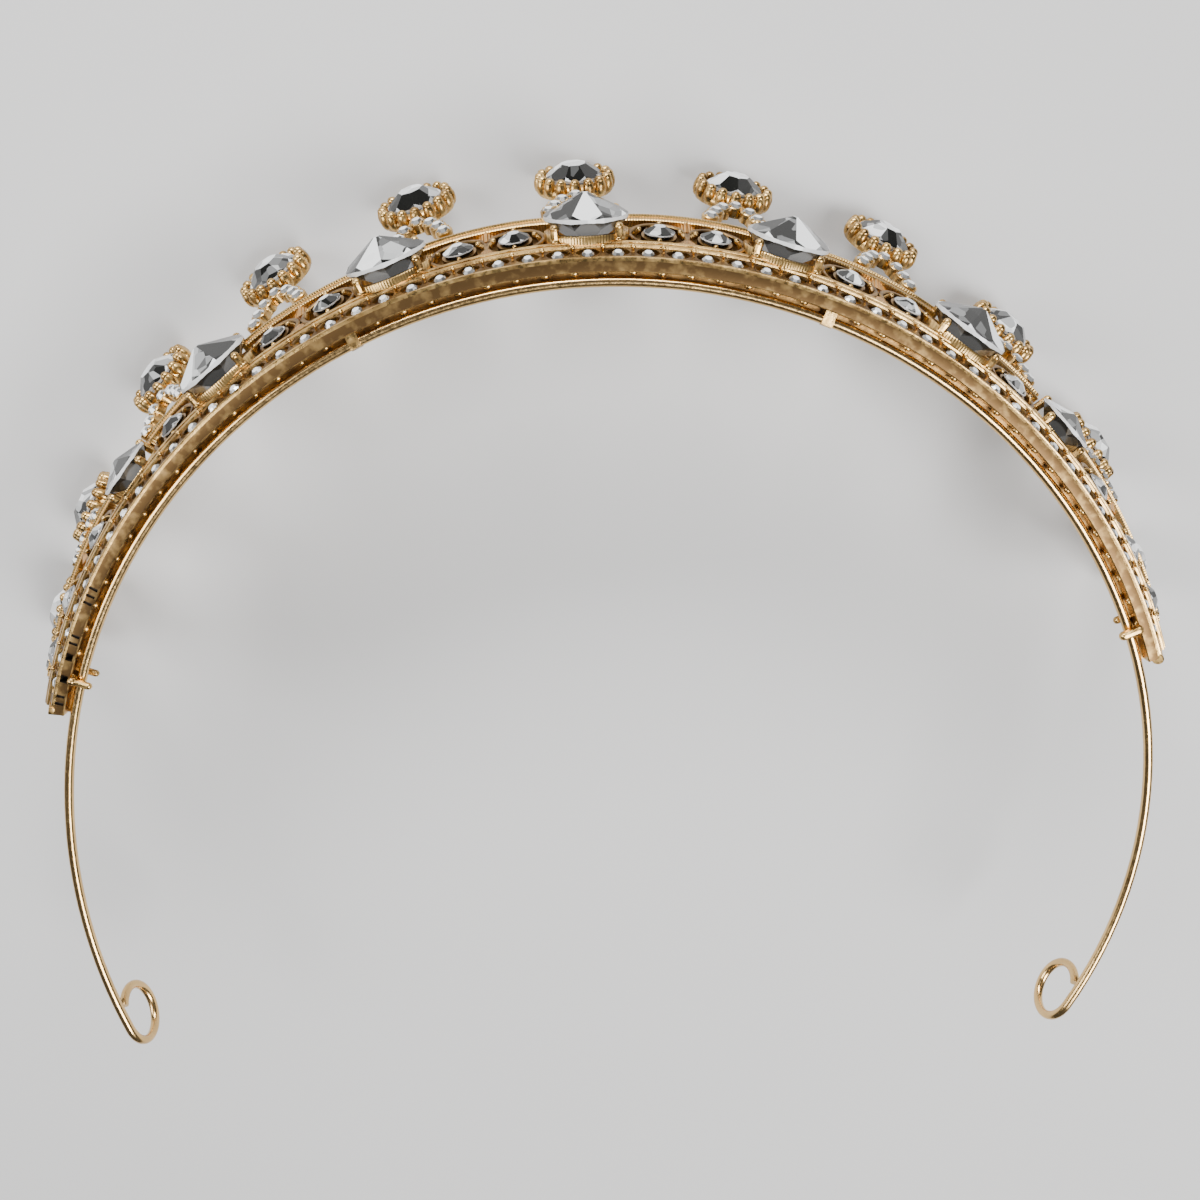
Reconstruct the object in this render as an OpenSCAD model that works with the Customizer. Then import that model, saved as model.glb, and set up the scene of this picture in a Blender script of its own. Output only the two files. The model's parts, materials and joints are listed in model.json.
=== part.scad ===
// Rhinestone tiara, lying upside down on its finials as it is put down on a table.
// Every piece is worked out on the upright tiara, whose arc is centred on the origin
// with the front towards -Y, and lay_down() turns the finished piece over.

/* [Arc] */
// Radius of the rail's lower outer edge
base_r = 73.7; // [72:0.1:76]
// Half of the angle that the band spans
band_half_angle = 73; // [72:0.5:75]

/* [Rail] */
// Thickness of the rail's flat bottom face
strip_t = 1.5; // [1.3:0.1:1.6]
// Lean of the rail's stone row from upright
row_lean = 30; // [24:1:34]
// Slant height of the rail's front face
row_h = 3.6; // [3.5:0.1:3.8]
// Angle from one small stone to the next along the rail
border_step = 2.7; // [2.6:0.05:2.8]
// Girdle diameter of the small stones in the rail
border_d = 1.9; // [1.6:0.1:2.0]

/* [Openwork] */
// Lean of the openwork and of the arches on it
lean = 23; // [20:1:25]
// Slant height from the ledge to the top rail at mid span
openwork_h = 9.2; // [8.8:0.1:9.4]
// Thickness of the openwork
openwork_t = 1.2; // [1:0.1:1.4]
// Width of a top rail
rail_w = 1.2; // [1:0.1:1.4]
// Width of a pointed oval frame from tip to tip
frame_w = 7; // [6.6:0.1:7.2]
// Height of a pointed oval frame
frame_h = 6.4; // [6:0.1:6.8]

/* [Stones] */
// Girdle diameter of the large stones
large_d = 10.2; // [10:0.1:10.8]
// Lean of the large stones
large_lean = 10; // [8:1:14]
// Girdle diameter of the stones in the oval frames
mid_d = 3.8; // [3.4:0.1:4]
// Girdle diameter of the finial stones
finial_d = 7.4; // [7:0.1:7.8]
// Girdle diameter of the stones on the arches
arch_d = 1.8; // [1.6:0.1:1.9]

/* [Finials] */
// Angle from one finial to the next
finial_step = 14.5; // [14.2:0.1:14.6]
// Angle by which the row of finials stands off the middle
finial_shift = -0.75; // [-1:0.25:1]
// Slant distance from the top rail to the middle of a finial
finial_rise = 14.4; // [13.5:0.1:15]
// Extra lean of the finial's ring
ring_lean = -3; // [-5:1:5]
// Number of bead claws round a finial
ring_beads = 16; // [14:2:18]
// Half width of an arch at its feet
arch_half_w = 3.9; // [3.5:0.1:4.2]
// Lean of the two outermost finials
end_lean = 6; // [0:1:8]
// Angle at which the two outermost finials stand
end_angle = 70; // [68:0.5:70]

/* [Wire] */
// Diameter of the headband wire
wire_d = 1.2; // [1:0.1:1.3]
// Radius of the free end at the left, seen from the front
left_free_r = 78; // [70:1:82]
// Radius of the free end at the right, seen from the front
right_free_r = 64; // [60:1:75]
// Length of the free end at the left, from the outer clip to the eye loop
left_free_length = 52; // [48:1:56]
// Length of the free end at the right, from the outer clip to the eye loop
right_free_length = 57; // [50:1:60]
// Radius of an eye loop to the middle of the wire
eye_r = 3.9; // [3.5:0.1:4.2]

/* [Hidden] */
// Columns: angle of the stone's middle from the front
LARGE = [-49.2, -36.3, -17.95, 0, 17.95, 36.3, 49.2];
MID = [-68.9, -63.3, -56.2, -43, -30.3, -24.4, -11.6, -6.5,
       6.5, 11.6, 24.4, 30.3, 43, 56.2, 63.3, 68.9];
// Angles between which the top rails arch from one large stone to the next
SWAG_ENDS = concat([-band_half_angle], LARGE, [band_half_angle]);
// Angle of the outer clips, beyond which the wire is free
clip_angle = 69;
// Angles of the clips that hold the wire
CLIPS = [-clip_angle, -23, 23, clip_angle];
FINIALS = [for (i = [-5:5])
    abs(i) == 5 ? sign(i) * end_angle : i * finial_step + finial_shift];

clear = 0.1;
gold = [0.83, 0.65, 0.42];
crystal = [0.9, 0.93, 0.95];

// Front face of the openwork where it stands on the ledge
ledge_z = row_h * cos(row_lean);
open_r = base_r + row_h * sin(row_lean) - 0.4;
top_h = openwork_h - rail_w / 2;

// Middle of a large stone's girdle
large_r = base_r + 5;
large_z = 6.9;

// Middle of the wire, just inside the rail
wire_r = base_r - strip_t - wire_d / 2 - 0.5;
wire_z = 0.9;

// Angle that an eye loop turns through, and its number of steps
eye_turn = 312;
eye_steps = 12;

// Free end of the wire on one side: its radius and the angle that it turns by
function free_r(side) = side < 0 ? left_free_r : right_free_r;
function free_turn(side) =
    (side < 0 ? left_free_length : right_free_length) / free_r(side) * 180 / PI;

// Point turned about the Z axis
function turned(angle, p) =
    [p[0] * cos(angle) - p[1] * sin(angle), p[0] * sin(angle) + p[1] * cos(angle), p[2]];

// Hexagonal sections of the wire: on the arc that the clips hold, on a free end, and on an eye loop
HEXAGON = [for (k = [0:5]) wire_d / 2 * [cos(60 * k), -sin(60 * k)]];

function arc_section(angle) =
    [for (c = HEXAGON) turned(angle, [0, -wire_r - c[0], c[1]])];

function on_free_end(side, turn, p) =
    turned(side * clip_angle, turned(side * turn, p) + [0, free_r(side) - wire_r, 0]);

function free_section(side, turn) =
    [for (c = HEXAGON) on_free_end(side, turn, [0, -free_r(side) - c[0], c[1]])];

function eye_section(side, turn) = [for (c = HEXAGON)
    on_free_end(side, free_turn(side),
        [side * (eye_r - c[1]) * sin(turn), -free_r(side) - c[0], eye_r - (eye_r - c[1]) * cos(turn)])];

// Ring of a finial, in front of and behind the arch's face
ring_in_r = finial_d / 2 + clear;
ring_r = ring_in_r + 0.9;
bead_r = 0.72;
ring_out_r = ring_r + bead_r;
ring_front = 1.9;
ring_back = 0.9;

// Stone of a finial: how far its girdle stands out of the arch's face, its table and its crown
finial_out = 1.4;
finial_table = 3.4;
finial_crown = 2.4;

// Height of the upright tiara, which is the height of the wire's level above the table
tip_z = ledge_z + (openwork_h + finial_rise) * cos(lean)
    + ring_out_r * cos(lean + ring_lean) + ring_back * sin(lean + ring_lean);
// Slant distance that brings the outermost finials down to the same level
end_rise = (tip_z - ledge_z - top_h * cos(lean) - ring_out_r * cos(end_lean)
    - ring_back * sin(end_lean)) / cos(end_lean) - rail_w / 2;

// Extent along Y, from the front finial's stone or ring to the back of the eye loops
front_y = -open_r - (openwork_h + finial_rise) * sin(lean)
    - max(ring_front * cos(lean + ring_lean) + ring_out_r * sin(lean + ring_lean),
          (finial_out + finial_crown) * cos(lean + ring_lean)
              + finial_table / 2 * sin(lean + ring_lean));
back_y = max([for (side = [-1, 1], k = [0:eye_steps])
    for (p = eye_section(side, eye_turn * k / eye_steps)) p[1]]);

// Turns the upright tiara over onto its finials and centres it over the origin
module lay_down() {
    translate([0, -(front_y + back_y) / 2, tip_z]) rotate([0, 180, 0]) children();
}

// Places: +X along the band, -Y outwards and +Z up the slope
module on_openwork(angle, height) {
    rotate([0, 0, angle]) translate([0, -open_r, ledge_z])
        rotate([lean, 0, 0]) translate([0, 0, height]) children();
}

module on_row(angle, slope) {
    rotate([0, 0, angle]) translate([0, -base_r, 0])
        rotate([row_lean, 0, 0]) translate([0, 0, slope]) children();
}

module on_large(angle) {
    rotate([0, 0, angle]) translate([0, -large_r, large_z])
        rotate([large_lean, 0, 0]) children();
}

// Origin at the arch's feet on the top rail
module on_arch(i) {
    outer = abs(i - 5) == 5;
    angle = FINIALS[i];
    rotate([0, 0, angle]) translate([0, -open_r - top_h * sin(lean), ledge_z + top_h * cos(lean)])
        rotate([outer ? end_lean : lean, 0, 0]) children();
}

function ring_height(i) = (abs(i - 5) == 5 ? end_rise : finial_rise) + rail_w / 2;

module on_ring(i) {
    outer = abs(i - 5) == 5;
    on_arch(i) translate([0, 0, ring_height(i)])
        rotate([outer ? 0 : ring_lean, 0, 0]) children();
}

// Turns a shape made along +Z so that it faces outwards
module face_out() {
    rotate([90, 0, 0]) children();
}

// Ring of n corners round the Z axis, turned by part of a side
function stone_ring(r, z, n, turn) = [for (k = [0:n - 1])
    [r * cos((k + turn) * 360 / n), r * sin((k + turn) * 360 / n), z]];

// Skin through rings that all have n corners, closed at both ends
function skin_faces(rings, n) = concat(
    [[for (k = [0:n - 1]) k]],
    [for (j = [0:rings - 2], k = [0:n - 1]) let (next = (k + 1) % n)
        [j * n + k, (j + 1) * n + k, (j + 1) * n + next, j * n + next]],
    [[for (k = [n - 1:-1:0]) (rings - 1) * n + k]]);

module skin(rings) {
    n = len(rings[0]);
    polyhedron([for (ring = rings, corner = ring) corner], skin_faces(len(rings), n));
}

// Round cut stone with its girdle round the origin, its table towards +Z and a star of facets
// between the eight sided table and the sixteen sided girdle
module star_cut_stone(d, table_d, crown_h, pavilion_h) {
    girdle = d * 0.04;
    points = concat(stone_ring(table_d / 2, crown_h, 8, 0), stone_ring(d / 2, girdle, 16, 0),
        stone_ring(d / 2, -girdle, 16, 0), [[0, 0, -pavilion_h]]);
    table = [[for (k = [7:-1:0]) k]];
    stars = [for (k = [0:7]) [(k + 1) % 8, 9 + 2 * k, k]];
    kites = [for (k = [0:7], half = [0, 1])
        [8 + (2 * k + half) % 16, 8 + (2 * k + half + 15) % 16, k]];
    sides = [for (k = [0:15]) [8 + (k + 1) % 16, 24 + (k + 1) % 16, 24 + k, 8 + k]];
    backs = [for (k = [0:15]) [24 + (k + 1) % 16, 40, 24 + k]];
    polyhedron(points, concat(table, stars, kites, sides, backs));
}

// Smaller round cut stone with eight facets above the girdle and eight below
module plain_cut_stone(d, table_d, crown_h, pavilion_h) {
    girdle = d * 0.04;
    skin([stone_ring(d * 0.02, -pavilion_h, 8, 0), stone_ring(d / 2, -girdle, 8, 0),
        stone_ring(d / 2, girdle, 8, 0), stone_ring(table_d / 2, crown_h, 8, 0)]);
}

// Small flat backed stone with a table and eight facets
module chip(d, height) {
    cylinder(d1 = d, d2 = d * 0.55, h = height, $fn = 8);
}

module large_stone(i) {
    color(crystal) lay_down() on_large(LARGE[i - 1]) face_out()
        star_cut_stone(large_d, 1.8, 2.7, 4);
}

module mid_stone(i) {
    color(crystal) lay_down() on_openwork(MID[i - 1], frame_middle) face_out()
        translate([0, 0, 0.3]) plain_cut_stone(mid_d, 2, 0.9, 1.5);
}

module finial_stone(i) {
    color(crystal) lay_down() on_ring(i - 1) face_out()
        translate([0, 0, finial_out]) star_cut_stone(finial_d, finial_table, finial_crown, 3);
}

frame_middle = 4;
border_last = floor((band_half_angle - 1.5) / border_step);

module border_stones() {
    color(crystal) lay_down() for (k = [-border_last:border_last])
        on_row(k * border_step, row_middle) face_out()
            translate([0, 0, clear - recess]) chip(border_d, 0.55);
}

// Distances along an arch's arm at which its small stones sit, from foot to top
ARM_STONES = [0.27, 0.49, 0.7];

function arm_x(t) = arch_half_w * (1 - t) + 0.7 * sin(180 * t);
function arm_top(i) = ring_height(i) - ring_out_r + 0.2;

module arch_stones() {
    color(crystal) lay_down() for (i = [0:len(FINIALS) - 1]) on_arch(i) {
        for (side = [-1, 1], t = ARM_STONES)
            translate([side * arm_x(t), 0, t * arm_top(i)]) face_out()
                translate([0, 0, clear]) chip(arch_d, 0.7);
        translate([0, 0, arm_top(i) - 1.3]) face_out()
            translate([0, 0, clear]) chip(arch_d, 0.7);
    }
}

// Rail: section in the plane through the tiara's axis
recess = 0.5;
recess_h = border_d + 2 * clear;
lip_h = 0.45;
row_middle = lip_h + recess_h / 2;

function row_point(slope, out) = [
    base_r + slope * sin(row_lean) + out * cos(row_lean),
    slope * cos(row_lean) - out * sin(row_lean)];

module rail_section() {
    polygon([
        [base_r - strip_t, 0], [base_r, 0],
        row_point(lip_h, 0), row_point(lip_h, -recess),
        row_point(lip_h + recess_h, -recess), row_point(lip_h + recess_h, 0),
        row_point(row_h - 0.5, 0), row_point(row_h - 0.5, 0.3), row_point(row_h, 0.3),
        [open_r - openwork_t, ledge_z], [base_r - strip_t, 1.8]]);
}

module rail() {
    rotate([0, 0, -90 - band_half_angle])
        rotate_extrude(angle = 2 * band_half_angle, $fn = 80) rail_section();
}

// Pointed oval, with its tips on the X axis
function oval(w, h, n) =
    let (r = (w * w + h * h) / (4 * h), a = asin(min(1, w / 2 / r)))
    concat(
        [for (k = [0:n - 1]) let (b = -a + 2 * a * k / n) [r * sin(b), r * cos(b) - r + h / 2]],
        [for (k = [0:n - 1]) let (b = a - 2 * a * k / n) [r * sin(b), r - h / 2 - r * cos(b)]]);

// Frame with a post down to the ledge and one up to the top rail
module oval_frame() {
    post_w = 1;
    face_out() translate([0, 0, -openwork_t]) {
        linear_extrude(openwork_t) difference() {
            polygon(oval(frame_w + 0.6, frame_h + 0.4, 4));
            polygon(oval(frame_w - 1.4, frame_h - 1.4, 4));
        }
        for (y = [-frame_middle - 0.3, frame_h / 2 - 0.3])
            translate([-post_w / 2, y, 0.1]) cube([post_w, 1.4, openwork_t - 0.2]);
    }
}

// Collar behind a large stone
module collar() {
    on_large(0) face_out() translate([0, 0, -3.6]) linear_extrude(2) difference() {
        circle(r = 5.1, $fn = 12);
        circle(r = 4.2, $fn = 12);
    }
}

// Claw that rises from the collar, stands beside the girdle and closes over it
module claw() {
    translate([0, 0, -0.5]) linear_extrude(1)
        polygon([[-1.2, 3.3], [-1.2, 2.1], [-0.5, 1.8], [-0.5, -0.95],
            [-1.1, -0.95], [-1.1, -1.45], [0.5, -1.45], [0.5, 3.3]]);
}

module large_seat(angle) {
    rotate([0, 0, angle]) {
        collar();
        for (turn = [45:90:315]) on_large(0) rotate([0, turn, 0])
            translate([large_d / 2 + clear + 0.5, 0, 0]) claw();
    }
}

// Room for a large stone, cut out of what passes behind it
module stone_room(angle) {
    room_r = large_d / 2 + 0.25;
    on_large(angle) face_out() rotate_extrude($fn = 16)
        polygon([[0, -5], [4.1, -5], [4.1, -1.5], [room_r, -0.4], [room_r, 2], [0, 2]]);
}

// Point on the openwork's cone: angle from the front, distance out of the face, height up the slope
function openwork_point(angle, out, height) =
    let (r = open_r + height * sin(lean) + out * cos(lean))
    [r * sin(angle), -r * cos(angle), ledge_z + height * cos(lean) - out * sin(lean)];

// Top rail that arches from one large stone to the next
function swag_height(t) = top_h - 1.4 * pow(abs(2 * t - 1), 3);

module swag(from, to) {
    steps = ceil((to - from) / 3);
    lap = 2.6;
    first = abs(from) == band_half_angle ? 0.2 : lap;
    last = abs(to) == band_half_angle ? 0.2 : lap;
    swag_back = -openwork_t - 0.15;
    skin([for (j = [0:steps])
        let (angle = from + first + (to - from - first - last) * j / steps,
            h = swag_height((angle - from) / (to - from)))
        [openwork_point(angle, 0.15, h - rail_w / 2), openwork_point(angle, swag_back, h - rail_w / 2),
        openwork_point(angle, swag_back, h + rail_w / 2), openwork_point(angle, 0.15, h + rail_w / 2)]]);
}

// Upright bar from the ledge to the top rail at an end of the band
module end_post(angle) {
    half = 0.45;
    skin([for (h = [-0.3, swag_height(0)])
        [openwork_point(angle - half, 0, h), openwork_point(angle + half, 0, h),
        openwork_point(angle + half, -openwork_t, h), openwork_point(angle - half, -openwork_t, h)]]);
}

// Inverted V of an arch, with its feet sunk into the top rail
module arch(i) {
    half = 0.95;
    foot = 0.9;
    for (side = [-1, 1]) on_arch(i) hull() for (t = [0, 0.4, 1])
        translate([side * arm_x(t) - half, 0, t * arm_top(i) - foot * (1 - t)]) cube([2 * half, 1, 0.4]);
}

// Toothed ring that carries the bead claws of a finial
module bead_ring(i) {
    on_ring(i) face_out() translate([0, 0, -ring_back])
        linear_extrude(ring_front + ring_back) difference() {
            polygon([for (k = [0:2 * ring_beads - 1]) let (a = 90 + k * 180 / ring_beads)
                (ring_r + (k % 2 == 0 ? bead_r : 0)) * [cos(a), sin(a)]]);
            circle(r = ring_in_r / cos(180 / 12), $fn = 12);
        }
}

// Clip that reaches from the rail round the wire
module clip(angle) {
    half = wire_d / 2 + clear;
    wall = 0.5;
    rotate([0, 0, angle]) translate([0, -wire_r, wire_z]) difference() {
        translate([-0.9, -half - 0.9, -half - wall / 2])
            cube([1.8, 2 * half + wall + 0.9, 2 * half + wall]);
        translate([-1, -half, -half]) cube([2, 2 * half, 2 * half]);
    }
}

module end_cap(side) {
    rotate([0, 0, side * (band_half_angle - 0.15)]) hull()
        for (slope = [0.7, 2.75]) translate([0, -base_r, 0]) rotate([row_lean, 0, 0])
            translate([0, 0.95, slope]) face_out() cylinder(d = 1.3, h = 1, $fn = 12);
}

module band() {
    color(gold) lay_down() {
        rail();
        for (angle = MID) on_openwork(angle, frame_middle) oval_frame();
        for (angle = LARGE) large_seat(angle);
        difference() {
            union() {
                for (j = [1:len(SWAG_ENDS) - 1]) swag(SWAG_ENDS[j - 1], SWAG_ENDS[j]);
                for (i = [0:len(FINIALS) - 1]) arch(i);
            }
            for (angle = LARGE) stone_room(angle);
        }
        for (i = [0:len(FINIALS) - 1]) bead_ring(i);
        for (angle = CLIPS) clip(angle);
        for (side = [-1, 1]) {
            end_cap(side);
            end_post(side * (band_half_angle - 0.6));
        }
    }
}

// Wire: an arc held by the clips, then a free end that has sprung a little in or out on each
// side, with an eye loop turned towards the finials
module headband_wire() {
    free_steps = 6;
    color(gold) lay_down() translate([0, 0, wire_z]) skin(concat(
        [for (k = [eye_steps:-1:1]) eye_section(-1, eye_turn * k / eye_steps)],
        [for (k = [free_steps:-1:1]) free_section(-1, free_turn(-1) * k / free_steps)],
        [for (k = [-9:9]) arc_section(clip_angle * k / 9)],
        [for (k = [1:free_steps]) free_section(1, free_turn(1) * k / free_steps)],
        [for (k = [1:eye_steps]) eye_section(1, eye_turn * k / eye_steps)]));
}

band();
headband_wire();
border_stones();
arch_stones();
for (i = [1:len(LARGE)])
    large_stone(i);
for (i = [1:len(FINIALS)])
    finial_stone(i);
for (i = [1:len(MID)])
    mid_stone(i);
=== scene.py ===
"""Rhinestone tiara that lies upside down on its finials: gold castings, cut stones and wire."""

import json
import math

import bmesh
import bpy
from bpy.props import FloatProperty, FloatVectorProperty, IntProperty, PointerProperty
from mathutils import Matrix, Vector


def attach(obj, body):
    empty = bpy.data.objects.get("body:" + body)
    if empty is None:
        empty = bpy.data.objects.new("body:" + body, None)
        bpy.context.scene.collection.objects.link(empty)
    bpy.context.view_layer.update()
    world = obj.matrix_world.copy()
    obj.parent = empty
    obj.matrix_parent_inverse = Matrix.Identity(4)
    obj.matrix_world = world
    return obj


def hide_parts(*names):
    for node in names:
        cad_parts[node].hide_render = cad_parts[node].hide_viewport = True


bl_info = {
    "name": "Rhinestone tiara",
    "version": (1, 0, 0),
    "blender": (4, 5, 0),
    "location": "View3D > Sidebar > Tiara",
    "description": "Models a rhinestone tiara round its fixed frame",
    "category": "Add Mesh",
}

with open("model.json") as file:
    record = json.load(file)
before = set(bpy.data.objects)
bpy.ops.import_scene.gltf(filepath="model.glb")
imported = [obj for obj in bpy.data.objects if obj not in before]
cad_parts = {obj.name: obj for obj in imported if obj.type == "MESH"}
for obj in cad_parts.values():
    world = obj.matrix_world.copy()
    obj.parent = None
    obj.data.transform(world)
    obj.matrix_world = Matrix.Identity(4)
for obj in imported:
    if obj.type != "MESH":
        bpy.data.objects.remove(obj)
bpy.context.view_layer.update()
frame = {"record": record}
MM = 0.001

# Angles from the front, in degrees, at which the pieces stand along the band
LARGE_ANGLES = (-49.2, -36.3, -17.95, 0, 17.95, 36.3, 49.2)
MID_ANGLES = (-68.9, -63.3, -56.2, -43, -30.3, -24.4, -11.6, -6.5,
              6.5, 11.6, 24.4, 30.3, 43, 56.2, 63.3, 68.9)
LEAF_ANGLES = (-66.1, -59.7, -27.3, -9.05, 9.05, 27.3, 59.7, 66.1)
MIDDLE_CLIPS = (-23, 23)

# Wear marks in the left end of the flat face, at their angles in degrees
GROOVES = (-59.1, -59.9, -60.7, -64.4, -65.2, -71.0, -71.8)
SQUARE_HOLES = (-66.7, -69.1)

# How much less than the openwork each of the eleven arches leans, in degrees
LEAN_BACK = (9, 5, 0, 0, 0, 2.5, 2.5, 1, 2.5, 5, 11)
FINIALS = range(len(LEAN_BACK))

# Claws of a large stone: angle round the stone in degrees, height of the head in millimetres
LARGE_CLAWS = ((45, 0.25), (135, 0.25), (225, -0.85), (315, -0.85))

# Prongs at the ends: angle in degrees, then the radius of the bar and of its foot,
# the reach of its outer and inner end and its height, in millimetres
PRONGS = ((-69.0, 0.46, 0.6, 71.9, 69.8, -0.2), (-68.2, 0.45, 0.45, 72.4, 69.9, 1.95),
          (69.2, 0.6, 0.6, 72.0, 70.0, -0.15), (68.1, 0.5, 0.5, 72.4, 70.5, 2.0))

# Tones of painted reflection on the facets, from dark to bright, in the order of their angles: the dark
# ones stand for reflected dark surroundings, the bright ones for painted glints
FACET_REFLECTIONS = (1, 0.12, 0.3, 0.05, 0.7, 0.2, 0.1, 0.45, 0.08, 1, 0.15, 0.04, 0.35, 0.1, 0.55, 0.18)
CHIP_REFLECTIONS = (0.8, 0.3, 0.55, 0.25, 0.7, 0.35, 0.5, 0.2)


def length(name, description, default):
    """Size in metres that a user can change."""
    return FloatProperty(name=name, description=description, default=default, min=0,
                         unit="LENGTH", subtype="DISTANCE")


def angle(name, description, degrees):
    """Angle that a user can change."""
    return FloatProperty(name=name, description=description, default=math.radians(degrees),
                         unit="ROTATION", subtype="ANGLE")


def colour(name, description, default):
    """Colour that a user can change."""
    return FloatVectorProperty(name=name, description=description, default=default,
                               size=3, min=0, max=1, subtype="COLOR")


class TiaraRail(bpy.types.PropertyGroup):
    """Sizes of the lower rail."""

    base_radius: length("Base radius", "Radius of the rail's lower outer edge", 73.7 * MM)
    half_angle: angle("Half angle", "Half of the angle that the band spans", 73)
    strip_width: length("Strip width", "Width of the flat bottom face", 1.5 * MM)
    lean: angle("Lean", "Lean of the stone row from upright", 30)
    height: length("Height", "Slant height of the front face", 3.6 * MM)
    step: angle("Step", "Angle from one small stone to the next", 2.7)
    row_middle: length("Row middle", "Slant height of the small stones", 1.5 * MM)
    recess_width: length("Recess width", "Length of a pointed recess", 2.9 * MM)
    recess_height: length("Recess height", "Height of a pointed recess", 1.9 * MM)


class TiaraOpenwork(bpy.types.PropertyGroup):
    """Sizes of the pierced openwork."""

    lean: angle("Lean", "Lean of the openwork from upright", 23)
    height: length("Height", "Slant height from the ledge to the top rail's edge", 9.2 * MM)
    thickness: length("Thickness", "Thickness of the openwork", 1.2 * MM)
    top_rail: length("Top rail", "Width of a top rail", 1.2 * MM)
    frame_width: length("Frame width", "Width of a pointed frame from tip to tip", 7.3 * MM)
    frame_height: length("Frame height", "Height of a pointed frame", 6.4 * MM)
    frame_middle: length("Frame middle", "Slant height of a frame's middle", 4 * MM)


class TiaraStones(bpy.types.PropertyGroup):
    """Sizes of the cut stones."""

    large: length("Large stone", "Diameter of a large stone", 10.2 * MM)
    outer: length("Outer large stone", "Diameter of the first and the last large stone", 8 * MM)
    large_out: length("Large stone reach", "How far its girdle stands out of the rail", 5 * MM)
    large_height: length("Large stone height", "Height of its middle", 6.9 * MM)
    large_lean: angle("Large stone lean", "Lean of a large stone from upright", 10)
    mid: length("Frame stone", "Diameter of a stone in a pointed frame", 3.8 * MM)
    finial: length("Finial stone", "Diameter of a finial's stone", 7.4 * MM)
    border: length("Border stone", "Diameter of a stone in the rail", 1.45 * MM)
    arch: length("Arch stone", "Diameter of a stone on an arch", 1.8 * MM)


class TiaraFinials(bpy.types.PropertyGroup):
    """Sizes of the finials and of the arches that carry them."""

    step: angle("Step", "Angle from one finial to the next", 14.5)
    shift: angle("Shift", "Angle by which the row of finials stands off the middle", -0.75)
    end_angle: angle("End angle", "Angle at which the outermost finials stand", 70)
    clearance: length("Clearance", "Room between the lowest claw and the floor", 0.31 * MM)
    ring_lean: angle("Ring lean", "Extra lean of a finial's ring", -3)
    ring_radius: length("Ring radius", "Radius of the circle of claws", 4.7 * MM)
    claw_radius: length("Claw radius", "Radius of a bead claw", 0.72 * MM)
    claws: IntProperty(name="Claws", description="Number of claws round a finial", default=16)
    arch_half_width: length("Arch half width", "Half width of an arch at its feet", 3.9 * MM)


class TiaraWire(bpy.types.PropertyGroup):
    """Sizes of the headband wire, with left and right as seen from the front."""

    thickness: length("Thickness", "Diameter of the wire", 1.2 * MM)
    radius: length("Radius", "Radius of the arc that the clips hold", 71.1 * MM)
    height: length("Height", "Height of the wire's middle above the flat face", 0.9 * MM)
    clip_angle: angle("Clip angle", "Angle of the outer clips", 69)
    left_radius: length("Left radius", "Radius of the left free end", 78 * MM)
    left_length: length("Left length", "Length of the left free end", 52 * MM)
    right_radius: length("Right radius", "Radius of the right free end", 64 * MM)
    right_length: length("Right length", "Length of the right free end", 57 * MM)
    eye: length("Eye", "Radius of an eye loop to the middle of the wire", 3.9 * MM)
    eye_turn: angle("Eye turn", "Angle that an eye loop turns through", 312)


class TiaraColours(bpy.types.PropertyGroup):
    """Colours of the metal, the stones and the floor."""

    gold: colour("Gold", "Lit casting", (0.76, 0.50, 0.19))
    patina: colour("Patina", "Dull gold in the low places", (0.34, 0.20, 0.07))
    # The strip colour is far darker than gold: a painted dark reflection on the flat face, and painted
    # shade on the row faces, in the low frames and in the square holes.
    strip: colour("Strip", "Worn flat faces", (0.11, 0.062, 0.026))
    wire: colour("Wire", "Drawn wire", (0.80, 0.53, 0.23))
    crystal: colour("Crystal", "Clear glass", (0.97, 0.98, 0.98))
    foil: colour("Foil", "Silvered back of the stones", (0.95, 0.95, 0.93))
    shade: colour("Shade", "Dark facets of the stones", (0.012, 0.012, 0.011))
    leaf: colour("Leaf", "Warmer gold of the leaves", (0.80, 0.40, 0.09))
    floor: colour("Floor", "Pale floor", (0.58, 0.575, 0.57))


class Tiara(bpy.types.PropertyGroup):
    """All that a user can change."""

    rail: PointerProperty(type=TiaraRail)
    openwork: PointerProperty(type=TiaraOpenwork)
    stones: PointerProperty(type=TiaraStones)
    finials: PointerProperty(type=TiaraFinials)
    wire: PointerProperty(type=TiaraWire)
    colours: PointerProperty(type=TiaraColours)


def tiara():
    """The tiara's sizes and colours."""
    return bpy.context.scene.tiara


# Places: the tiara is worked out upright with its arc round the origin, and laid down last


def shift(x, y, z):
    """Move by x, y and z."""
    return Matrix.Translation((x, y, z))


def tip(turn):
    """Turn about X."""
    return Matrix.Rotation(turn, 4, "X")


def roll(turn):
    """Turn about Y."""
    return Matrix.Rotation(turn, 4, "Y")


def spin(turn):
    """Turn about Z."""
    return Matrix.Rotation(turn, 4, "Z")


def swing(degrees):
    """Turn about the tiara's own axis, in degrees."""
    return spin(math.radians(degrees))


FACE_OUT = tip(math.radians(90))


def base_face():
    """Point on the flat bottom face at the front, which now faces up."""
    mounts = frame["record"]["mounts"]
    return Vector(next(m["pos_m"] for m in mounts if m["name"] == "base_face"))


def lay_down():
    """Place of the upright tiara once it is turned over onto its finials."""
    rail = tiara().rail
    point = base_face()
    middle = point.y + rail.base_radius - rail.strip_width / 2
    return shift(0, middle, point.z) @ roll(math.pi)


def ledge_height():
    """Height of the ledge on which the openwork stands."""
    rail = tiara().rail
    return rail.height * math.cos(rail.lean)


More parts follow.
